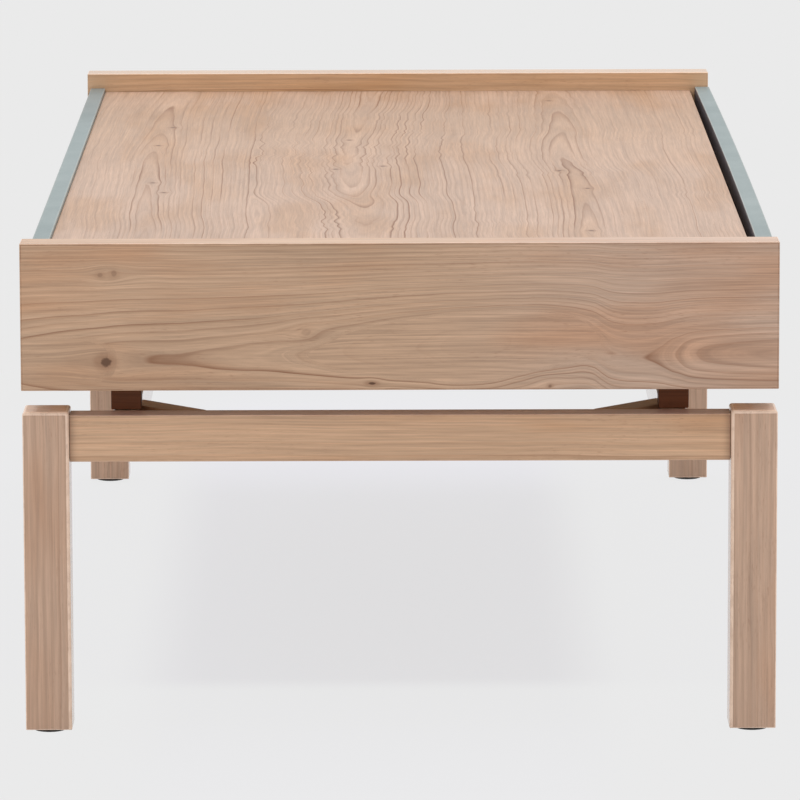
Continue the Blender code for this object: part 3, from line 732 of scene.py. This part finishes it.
# Puts modifiers, each a kind and its settings, on a mesh and returns the plain mesh they make.
def worked(mesh, *steps):
    holder = addObject("holder", mesh)
    for kind, settings in steps:
        modifier = holder.modifiers.new(kind.lower(), kind)
        for key, value in settings.items():
            setattr(modifier, key, value)
    return plainMesh(holder)


# Housings and mortises are cut with the boxes of the nodes that sit in them, grown by the gap.
def cutSeats(mesh, seats, gap=0.0003):
    cutters = [addObject("cutter", meshFrom(boxShape(low, high, gap), "cutter")) for low, high in seats]
    cutting = {"operation": "DIFFERENCE", "solver": "EXACT"}
    result = worked(mesh, *[("BOOLEAN", {**cutting, "object": cutter}) for cutter in cutters])
    for cutter in cutters:
        bpy.data.objects.remove(cutter)
    return result


weighted = ("WEIGHTED_NORMAL", {"keep_sharp": True})
wornStrip = 0.002  # how far the marks of an arris, its wear and painted highlight and the painted shade line beside it, reach on to the flats
buttedEasing = 0.15  # share of the rounding that is left on a butted end
overrun = 0.01  # how far a cutter runs past the wood


# A board between two corners. All its arrises are rounded alike, or only the top ones and the
# upright one towards a side, with the others eased by less. A butted board has ends that meet
# another piece, and these stay nearly sharp. The arris mark runs from 1 on the rounding to 0 on
# the flats. Cuts across the board let it bow.
def boardMesh(name, low, high, rounding, segments=4, easing=None, towards=(0, 0), seats=(), bow=0.0, cuts=0,
              butted=False):
    builder = boxShape(low, high)
    weights = builder.edges.layers.float.new("bevel_weight_edge")
    middle = (Vector(low) + Vector(high)) / 2
    for edge in builder.edges:
        places = [corner.co - middle for corner in edge.verts]
        onTop = all(place.z > 0 for place in places)
        upright = all(place.x * towards[0] > 0 and place.y * towards[1] > 0 for place in places)
        edge[weights] = 1.0 if onTop or upright or easing is None else easing / rounding
        if butted and places[0].x * places[1].x > 0:
            edge[weights] = buttedEasing
    rounded = ("BEVEL", {"width": rounding, "segments": segments, "limit_method": "WEIGHT"})
    mesh = worked(meshFrom(builder, name), rounded)
    builder = bmesh.new()
    builder.from_mesh(mesh)
    mark = builder.verts.layers.float.new("arris")
    for vertex in builder.verts:
        vertex[mark] = 1.0
    flats = sorted(builder.faces, key=lambda face: face.calc_area())[-6:]
    bmesh.ops.inset_individual(builder, faces=flats, thickness=wornStrip)
    for face in flats:
        for vertex in face.verts:
            vertex[mark] = 0.0
    for index in range(cuts):
        place = low[1] + (high[1] - low[1]) * (index + 1) / (cuts + 1)
        everything = builder.verts[:] + builder.edges[:] + builder.faces[:]
        bmesh.ops.bisect_plane(builder, geom=everything, plane_co=(0.0, place, 0.0), plane_no=alongY)
    for vertex in builder.verts:
        share = (vertex.co.y - middle.y) / (high[1] - middle.y)
        vertex.co.x += bow * (1 - share ** 2)
    for face in builder.faces:
        face.smooth = True
    mesh = meshFrom(builder, name)
    if seats:
        mesh = cutSeats(mesh, seats)
    return worked(mesh, weighted)


# A merged copy of a node's solid with its sharp arrises eased, and marked on the easing.
def easedCopy(name, node, width):
    sharpAngle = math.radians(50)
    builder = bmesh.new()
    builder.from_mesh(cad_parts[node].data)
    bmesh.ops.remove_doubles(builder, verts=builder.verts[:], dist=0.00001)
    bmesh.ops.dissolve_limit(builder, angle_limit=math.radians(0.5), verts=builder.verts[:],
                             edges=builder.edges[:])
    sharp = [edge for edge in builder.edges
             if len(edge.link_faces) == 2 and edge.calc_face_angle(0.0) > sharpAngle]
    eased = bmesh.ops.bevel(builder, geom=sharp, offset=width, offset_type="OFFSET", segments=2, profile=0.5,
                            affect="EDGES", clamp_overlap=True)
    easings = set(eased["faces"])
    mark = builder.verts.layers.float.new("arris")
    for vertex in builder.verts:
        vertex[mark] = 1.0 if all(face in easings for face in vertex.link_faces) else 0.0
    for face in builder.faces:
        face.smooth = True
    mesh = meshFrom(builder, name)
    mesh.set_sharp_from_angle(angle=sharpAngle)
    mesh.materials.clear()
    return worked(mesh, weighted)


endBoards = {"rounding": 0.0007, "segments": 5, "tongueHeight": 0.009}
panelLow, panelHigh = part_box("top_panel")
tongueTop = panelLow.z + endBoards["tongueHeight"]
for end, wood in (("near", nearBoardWood), ("far", farBoardWood)):
    low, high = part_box("end_board_" + end)
    seats = [(panelLow, Vector((panelHigh.x, panelHigh.y, tongueTop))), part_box("bottom_panel"),
             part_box("centre_divider")]
    name = end + "_end_board"
    mesh = boardMesh(name, low, high, endBoards["rounding"], endBoards["segments"], seats=seats)
    finishPiece(name, mesh, wood, ["end_board_" + end])

# The left board is shut tight against the top. The 0.3 mm between their solids would hide that,
# so the top closes most of it.
topPanel = {"rounding": 0.0005, "shoulder": 0.0003, "closing": 0.00025}
low = Vector((panelLow.x - topPanel["closing"], panelLow.y, panelLow.z))
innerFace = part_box("end_board_near")[1].y
shoulderLow = Vector((low.x - overrun, low.y - overrun, tongueTop + topPanel["shoulder"]))
shoulderHigh = panelHigh + Vector((overrun, overrun, overrun))
shoulders = [(shoulderLow, Vector((shoulderHigh.x, innerFace, shoulderHigh.z))),
             (Vector((shoulderLow.x, -innerFace, shoulderLow.z)), shoulderHigh)]
mesh = boardMesh("table_top", low, panelHigh, topPanel["rounding"], seats=shoulders)
finishPiece("table_top", mesh, panelWood, ["top_panel"])
print("end boards and top made")

legs = {"rounding": 0.0026, "easing": 0.0008, "segments": 6, "nailHole": Vector((0.0012, 0.0012, 0.0))}
for corner, wood in legWoods.items():
    low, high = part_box("leg_" + corner)
    middle = (low + high) / 2
    holeLow, holeHigh = middle - legs["nailHole"], middle + legs["nailHole"]
    holeLow.z, holeHigh.z = -overrun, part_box("glide_" + corner)[1].z
    proud = (-1 if middle.x > 0 else 1, 1 if middle.y > 0 else -1)
    mesh = boardMesh("leg_piece", low, high, legs["rounding"], legs["segments"], legs["easing"], proud,
                     [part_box("leg_tenon_" + corner), (holeLow, holeHigh)])
    finishPiece("square_leg_" + corner, mesh, wood, ["leg_" + corner])

rails = {"rounding": 0.0010, "easing": 0.0004, "blockEasing": 0.0003}
for end in ends:
    node = "end_rail_" + end
    low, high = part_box(node)
    seats = [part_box(kind + "_" + end + "_" + side) for kind in ("leg_tenon", "rail_tenon") for side in sides]
    mesh = boardMesh(node, low, high, rails["rounding"], seats=seats, butted=True)
    finishPiece("rail_" + end, mesh, endRailWood, [node])
for side in sides:
    node = "long_rail_" + side
    finishPiece("rail_" + side, easedCopy(node, node, rails["easing"]), longRailWood, [node])
for end, way in (("near", 1), ("far", -1)):
    for side, out in (("left", -1), ("right", 1)):
        corner = end + "_" + side
        node = "corner_brace_" + corner
        mesh = easedCopy("brace", node, rails["easing"])
        finishPiece("brace_" + corner, mesh, braceWoods[way * out], [node])
        node = "spacer_" + corner
        mesh = easedCopy("spacer", node, rails["blockEasing"])
        finishPiece("spacer_block_" + corner, mesh, battenWood, [node])
mesh = easedCopy("batten", "middle_batten", rails["blockEasing"])
finishPiece("cross_batten", mesh, battenWood, ["middle_batten"])
print("underframe made")

drawers = {"rounding": 0.0008, "bow": 0.0020, "cuts": 15, "easing": 0.0006, "insideEasing": 0.0004}
for side, bow in (("left", 0.0), ("right", drawers["bow"])):
    body = side + "_drawer"
    node = "drawer_front_" + side
    low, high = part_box(node)
    mesh = boardMesh(node, low, Vector((high.x - bow, high.y, high.z)), drawers["rounding"], bow=bow,
                     cuts=drawers["cuts"])
    finishPiece("painted_front_" + side, mesh, bluePaint, [node], body)
    for node, wood in (("inner_front_" + side, innerWoodAlong), ("drawer_back_" + side, innerWoodAlong),
                       ("drawer_side_" + side + "_near", innerWoodAcross),
                       ("drawer_side_" + side + "_far", innerWoodAcross)):
        mesh = easedCopy(node, node, drawers["easing"])
        finishPiece(node + "_board", mesh, wood, [node], body)

hiddenBoards = {"centre_divider": innerWoodAlong, "bottom_panel": plywoodFinish}
hiddenBoards.update({"runner_" + side + "_" + end: innerWoodAcross for side in sides for end in ends})
hiddenBoards.update({"stop_" + side: innerWoodAlong for side in sides})
for node, finish in hiddenBoards.items():
    finishPiece(node + "_board", easedCopy(node, node, drawers["insideEasing"]), finish, [node])
for node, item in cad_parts.items():
    if "tenon" in node or "drawer_base" in node:
        item.data.materials.clear()
        item.data.materials.append(plywoodFinish if "base" in node else innerWoodAcross)
print("drawers and inside boards made")


# Screws and glides, repeated by Geometry Nodes on points that carry the way they face

def geometryTree(name, inputs):
    tree = bpy.data.node_groups.new(name, "GeometryNodeTree")
    tree.interface.new_socket(name="Geometry", in_out="INPUT", socket_type="NodeSocketGeometry")
    for label, value in inputs.items():
        socket = tree.interface.new_socket(name=label, in_out="INPUT", socket_type="NodeSocketFloat")
        socket.default_value = value
    tree.interface.new_socket(name="Geometry", in_out="OUTPUT", socket_type="NodeSocketGeometry")
    return tree, tree.nodes.new("NodeGroupInput").outputs


def shapeNode(tree, kind, sources, **settings):
    return addNode(tree, "GeometryNode" + kind, sources, **settings).outputs[0]


def cone(tree, vertices, top, bottom, depth):
    return shapeNode(tree, "MeshCone", {
        "Vertices": vertices, "Radius Top": top, "Radius Bottom": bottom, "Depth": depth})


def cylinder(tree, vertices, radius, depth):
    return shapeNode(tree, "MeshCylinder", {"Vertices": vertices, "Radius": radius, "Depth": depth})


def circle(tree, points, radius):
    return shapeNode(tree, "CurvePrimitiveCircle", {"Resolution": points, "Radius": radius})


def lifted(shape, height):
    offset = combined(0.0, 0.0, height) if isSocket(height) else (0.0, 0.0, height)
    return shapeNode(shape.id_data, "Transform", {"Geometry": shape, "Translation": offset})


def lowered(shape, depth):
    return lifted(shape, times(depth, -1.0))


def joined(*shapes):
    made = treeOf(*shapes).nodes.new("GeometryNodeJoinGeometry")
    for shape in reversed(shapes):
        shape.id_data.links.new(shape, made.inputs[0])
    return made.outputs[0]


def carved(shape, *tools):
    tree = shape.id_data
    made = addNode(tree, "GeometryNodeMeshBoolean", {"Mesh 1": shape}, operation="DIFFERENCE", solver="EXACT")
    for tool in tools:
        tree.links.new(tool, made.inputs["Mesh 2"])
    return made.outputs[0]


def coloured(shape, material):
    return shapeNode(shape.id_data, "SetMaterial", {"Geometry": shape, "Material": material})


# puts the shape on every point, its own Z turned to the point's facing
def onPoints(points, shape):
    tree = points.id_data
    facing = shapeNode(tree, "InputNamedAttribute", {"Name": "facing"}, data_type="FLOAT_VECTOR")
    turned = addNode(tree, "FunctionNodeAlignRotationToVector", {"Vector": facing}, axis="Z").outputs[0]
    placed = shapeNode(tree, "InstanceOnPoints", {"Points": points, "Instance": shape, "Rotation": turned})
    return shapeNode(tree, "RealizeInstances", {0: placed})


screwSizes = {"Head Radius": 0.0042, "Head Height": 0.0030, "Shank Radius": 0.00225, "Length": 0.052,
              "Recess": 0.0016, "Thread Pitch": 0.0022}
screwShape = {
    "slotLength": 1.15, "slotWidth": 0.27,  # shares of the head's radius
    "core": 0.86, "ridge": 0.14,  # shares of the shank's radius
    "shank": 0.88, "tip": 0.12, "thread": 0.60, "threadEnd": 0.93,  # shares of the length
}


# A countersunk screw with a cross recess. Its head is flush with the point and its tip runs
# away from the side that it faces.
def makeScrewTree():
    tree, given = geometryTree("countersunkScrew", screwSizes)
    headHeight, length = given["Head Height"], given["Length"]
    head = lowered(cone(tree, 28, given["Head Radius"], given["Shank Radius"], headHeight), headHeight)
    slotWidth = times(given["Head Radius"], screwShape["slotWidth"])
    slotDepth = times(given["Recess"], 2.0)
    slotSize = combined(times(given["Head Radius"], screwShape["slotLength"]), slotWidth, slotDepth)
    slot = shapeNode(tree, "MeshCube", {"Size": slotSize})
    crossed = shapeNode(tree, "Transform", {"Geometry": slot, "Rotation": (0.0, 0.0, math.pi / 2)})
    centre = lifted(cone(tree, 16, times(slotWidth, 1.15), 0.0002, slotDepth), times(slotDepth, -0.5))
    core = times(given["Shank Radius"], screwShape["core"])
    shankLength = minus(times(length, screwShape["shank"]), headHeight)
    shank = lowered(cylinder(tree, 16, core, shankLength), plus(headHeight, times(shankLength, 0.5)))
    tip = lowered(cone(tree, 16, core, 0.0001, times(length, screwShape["tip"])), length)
    threadLength = times(length, screwShape["thread"])
    turns = over(threadLength, given["Thread Pitch"])
    thread = shapeNode(tree, "CurveSpiral", {
        "Resolution": 14, "Rotations": turns, "Start Radius": core, "End Radius": core,
        "Height": threadLength})
    ridge = circle(tree, 4, times(given["Shank Radius"], screwShape["ridge"]))
    thread = shapeNode(tree, "CurveToMesh", {"Curve": thread, "Profile Curve": ridge, "Fill Caps": True})
    thread = lowered(thread, times(length, screwShape["threadEnd"]))
    screw = joined(carved(head, slot, crossed, centre), shank, tip, thread)
    addNode(tree, "NodeGroupOutput", {0: coloured(onPoints(given["Geometry"], screw), zincFinish)})
    return tree


glideSizes = {"Radius": 0.0135, "Height": 0.0027, "Nail Radius": 0.00125, "Nail Length": 0.014}
glideShape = {"dimpleTop": 1.2, "dimpleBottom": 3.2, "dimpleDepth": 0.0009, "dimpleDrop": -0.0001,
              "headStretch": (1.9, 1.9, 0.45), "headPlace": (0.0, 0.0, 0.0008), "nailStart": 0.0004}


# A round foot with a soft rim, nailed through its middle.
def makeGlideTree():
    tree, given = geometryTree("nailGlide", glideSizes)
    nailRadius, nailLength = given["Nail Radius"], given["Nail Length"]
    half = times(given["Height"], 0.5)
    rimRadius = minus(given["Radius"], half)
    rim = shapeNode(tree, "CurveToMesh", {
        "Curve": circle(tree, 40, rimRadius), "Profile Curve": circle(tree, 12, half)})
    rim = lifted(rim, half)
    disc = lifted(cylinder(tree, 40, rimRadius, given["Height"]), half)
    top, bottom = (times(nailRadius, glideShape[key]) for key in ("dimpleTop", "dimpleBottom"))
    dimple = lifted(cone(tree, 24, top, bottom, glideShape["dimpleDepth"]), glideShape["dimpleDrop"])
    plastic = coloured(joined(rim, carved(disc, dimple)), darkPlasticFinish)
    nailMiddle = plus(times(nailLength, 0.5), glideShape["nailStart"])
    nail = lifted(cylinder(tree, 14, nailRadius, nailLength), nailMiddle)
    nailHead = shapeNode(tree, "MeshUVSphere", {"Segments": 16, "Rings": 8, "Radius": nailRadius})
    nailHead = shapeNode(tree, "Transform", {
        "Geometry": nailHead, "Translation": glideShape["headPlace"], "Scale": glideShape["headStretch"]})
    steel = coloured(joined(nail, nailHead), zincFinish)
    addNode(tree, "NodeGroupOutput", {0: onPoints(given["Geometry"], joined(plastic, steel))})
    return tree


# Runs a tree on points and returns the plain mesh. Sizes that differ from the tree's own are
# set by their sockets' identifiers.
def repeated(name, tree, spots, sizes=None):
    base = bpy.data.meshes.new(name)
    base.from_pydata([spot for spot, facing in spots], [], [])
    mark = base.attributes.new("facing", "FLOAT_VECTOR", "POINT")
    for index, (spot, facing) in enumerate(spots):
        mark.data[index].vector = facing
    holder = addObject("holder", base)
    modifier = holder.modifiers.new("repeat", "NODES")
    modifier.node_group = tree
    sockets = {item.name: item.identifier for item in tree.interface.items_tree if item.in_out == "INPUT"}
    for label, value in (sizes or {}).items():
        modifier[sockets[label]] = value
    mesh = plainMesh(holder)
    mesh.name = name
    mesh.polygons.foreach_set("use_smooth", [True] * len(mesh.polygons))
    mesh.set_sharp_from_angle(angle=math.radians(35))
    return mesh


countersunkScrew = makeScrewTree()
nailGlide = makeGlideTree()


def addScrews(name, spots, sizes=None, body="table", nodes=()):
    finishPiece(name, repeated(name, countersunkScrew, spots, sizes), None, nodes, body)


spots = []
for corner in corners:
    low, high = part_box("leg_" + corner)
    spots.append((((low.x + high.x) / 2, (low.y + high.y) / 2, 0.0), alongZ))
finishPiece("glides", repeated("glides", nailGlide, spots), None,
            ["glide_" + corner for corner in corners])

screwNodes = ["mounting_screw_" + place for place in corners + ["middle_left", "middle_right"]]
spots = []
for node in screwNodes:
    low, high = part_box(node)
    spots.append((((low.x + high.x) / 2, (low.y + high.y) / 2, low.z), downZ))
addScrews("mounting_screws", spots, nodes=screwNodes)

smallScrew = {"Head Radius": 0.0035, "Head Height": 0.0024, "Shank Radius": 0.00175, "Recess": 0.0013}
shortScrew = {**smallScrew, "Length": 0.017}
proudness = 0.00002  # keeps a screw's head just clear of the wood's face

# two in each brace, square to the rail they go into
spots = []
for end, way in (("near", -1), ("far", 1)):
    for side, out in (("left", -1), ("right", 1)):
        low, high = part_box("corner_brace_" + end + "_" + side)
        reach = high.x - low.x
        outerX = high.x if out > 0 else low.x
        outerY = high.y if way > 0 else low.y
        slope = math.sqrt(0.5)
        for share in (0.28, 0.72):
            place = (outerX - out * (reach * share + proudness),
                     outerY - way * (reach * (1 - share) + proudness), (low.z + high.z) / 2)
            spots.append((place, (-out * slope, -way * slope, 0.0)))
addScrews("brace_screws", spots, {**smallScrew, "Length": 0.034})

# three in each runner, and two up through each stop
spots = []
for end, facing in (("near", 1.0), ("far", -1.0)):
    for side in sides:
        low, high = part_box("runner_" + side + "_" + end)
        inner = low.y if end == "far" else high.y
        for share in (0.12, 0.5, 0.88):
            place = (low.x + (high.x - low.x) * share, inner + facing * proudness, (low.z + high.z) / 2)
            spots.append((place, (0.0, facing, 0.0)))
for side in sides:
    low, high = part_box("stop_" + side)
    for share in (0.25, 0.75):
        place = ((low.x + high.x) / 2, low.y + (high.y - low.y) * share, low.z - proudness)
        spots.append((place, downZ))
addScrews("runner_and_stop_screws", spots, shortScrew)

# a row through each inner front into the painted front
frontScrewRow = {"count": 5, "inset": 0.06, "aboveMiddle": 0.004}
for side, out in (("left", -1.0), ("right", 1.0)):
    low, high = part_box("inner_front_" + side)
    inner = low.x if out > 0 else high.x
    spots = []
    for index in range(frontScrewRow["count"]):
        share = index / (frontScrewRow["count"] - 1)
        y = low.y + frontScrewRow["inset"] + (high.y - low.y - 2 * frontScrewRow["inset"]) * share
        z = (low.z + high.z) / 2 + frontScrewRow["aboveMiddle"]
        spots.append(((inner - out * proudness, y, z), (-out, 0.0, 0.0)))
    addScrews("front_screws_" + side, spots, shortScrew, side + "_drawer")
print("screws and glides made")


# Floor, light and camera

studio = {
    "backdrop": (234, 234, 234), "floorPaint": (222, 220, 250), "floorFleck": (222, 221, 228),
    "floorBounce": (205, 204, 204), "ambient": 0.94, "ambientColour": (253, 254, 255), "lampPower": 47.5,
    "lampSize": 3.2, "lampPlace": (0.0, 0.3, 2.9), "lampTarget": (0.0, 0.0, 0.25),
    "lampColour": (1.0, 0.985, 0.97),
}
# The share of the light that the floor takes, and where it falls off: away from the table (from,
# to), to both sides (from, to, what is left) and in front of it (from, to, what is left).
shadow = {"share": 0.17, "away": (0.62, 1.3), "middle": -0.025, "aside": (0.14, 0.22, 0.2),
          "front": (-0.37, -0.43, 0.3)}


# what the camera sees, straight or in a mirror or glass
def seenByCamera(tree):
    path = addNode(tree, "ShaderNodeLightPath").outputs
    indirect = maths("MAXIMUM", path["Is Glossy Ray"], path["Is Transmission Ray"])
    return maths("MAXIMUM", path["Is Camera Ray"], indirect)


def mixedShaders(tree, share, first, second):
    return addNode(tree, "ShaderNodeMixShader", {0: share, 1: first.outputs[0], 2: second.outputs[0]})


# The floor glows for the camera and takes only a share of the light, so that it stays as pale
# as the backdrop and still keeps the table's shadow. Far away from the table it only glows.
def makeFloor():
    material, tree, shader = newMaterial("studioFloor")
    tree.nodes.remove(shader)
    position = addNode(tree, "ShaderNodeTexCoord").outputs["Object"]
    seen = seenByCamera(tree)
    colour = coated(studio["floorPaint"], studio["floorFleck"], noise(position, 35.0, detail=3.0), 0.10)
    colour = blended(seen, linear(*studio["floorBounce"]), colour)
    matte = addNode(tree, "ShaderNodeBsdfDiffuse", {"Color": colour})
    glow = addNode(tree, "ShaderNodeEmission", {"Color": linear(*studio["backdrop"]), "Strength": 1.0})
    places = parted(position)
    aside = maths("ABSOLUTE", minus(places[0], shadow["middle"]))
    share = times(ramped(vectorMaths("LENGTH", position), *shadow["away"], shadow["share"], 0.0),
                  ramped(aside, shadow["aside"][0], shadow["aside"][1], 1.0, shadow["aside"][2]),
                  ramped(places[1], shadow["front"][0], shadow["front"][1], 1.0, shadow["front"][2]))
    share = maths("MAXIMUM", share, minus(1.0, seen))
    below = addNode(tree, "ShaderNodeNewGeometry").outputs["Backfacing"]
    clear = addNode(tree, "ShaderNodeBsdfTransparent")
    final = mixedShaders(tree, below, mixedShaders(tree, share, glow, matte), clear)
    tree.links.new(final.outputs[0], tree.nodes["Material Output"].inputs["Surface"])
    return material


builder = bmesh.new()
bmesh.ops.create_circle(builder, cap_ends=True, segments=96, radius=40.0)
bmesh.ops.recalc_face_normals(builder, faces=builder.faces[:])
for face in builder.faces:
    if face.normal.z < 0:
        face.normal_flip()
floorMesh = meshFrom(builder, "floor")
floorMesh.materials.append(makeFloor())
floor = addObject("floor", floorMesh)

world = bpy.data.worlds.new("studio")
bpy.context.scene.world = world
world.use_nodes = True
tree = world.node_tree
tree.nodes.clear()
ambient = addNode(tree, "ShaderNodeBackground", {
    "Color": linear(*studio["ambientColour"]), "Strength": studio["ambient"]})
backdrop = addNode(tree, "ShaderNodeBackground", {"Color": linear(*studio["backdrop"]), "Strength": 1.0})
mixed = mixedShaders(tree, seenByCamera(tree), ambient, backdrop)
addNode(tree, "ShaderNodeOutputWorld", {"Surface": mixed.outputs[0]})

lampData = bpy.data.lights.new("topLamp", "AREA")
lampData.shape = "RECTANGLE"
lampData.size = lampData.size_y = studio["lampSize"]
lampData.energy = studio["lampPower"]
lampData.color = studio["lampColour"]
lamp = addObject("topLamp", lampData)
lamp.location = studio["lampPlace"]
lampWay = Vector(studio["lampTarget"]) - Vector(studio["lampPlace"])
lamp.rotation_euler = lampWay.to_track_quat("-Z", "Y").to_euler()
lamp.visible_camera = False

# The camera's place and turn were fitted to the straight edges of the table.
view = {"place": (-0.00562, -5.65496, 1.11338), "turn": 0.001114, "tilt": 0.164940, "roll": -0.002701,
        "lens": 291.2525}
cameraData = bpy.data.cameras.new("camera")
cameraData.lens = view["lens"]
cameraData.sensor_width = 36.0
cameraData.clip_end = 200.0
camera = addObject("camera", cameraData)
camera.matrix_world = (Matrix.Translation(view["place"]) @ Matrix.Rotation(-view["turn"], 4, "Z")
                       @ Matrix.Rotation(math.pi / 2 - view["tilt"], 4, "X")
                       @ Matrix.Rotation(view["roll"], 4, "Z"))
bpy.context.scene.camera = camera
bpy.context.scene.view_settings.view_transform = "Standard"
print("floor, light and camera made")
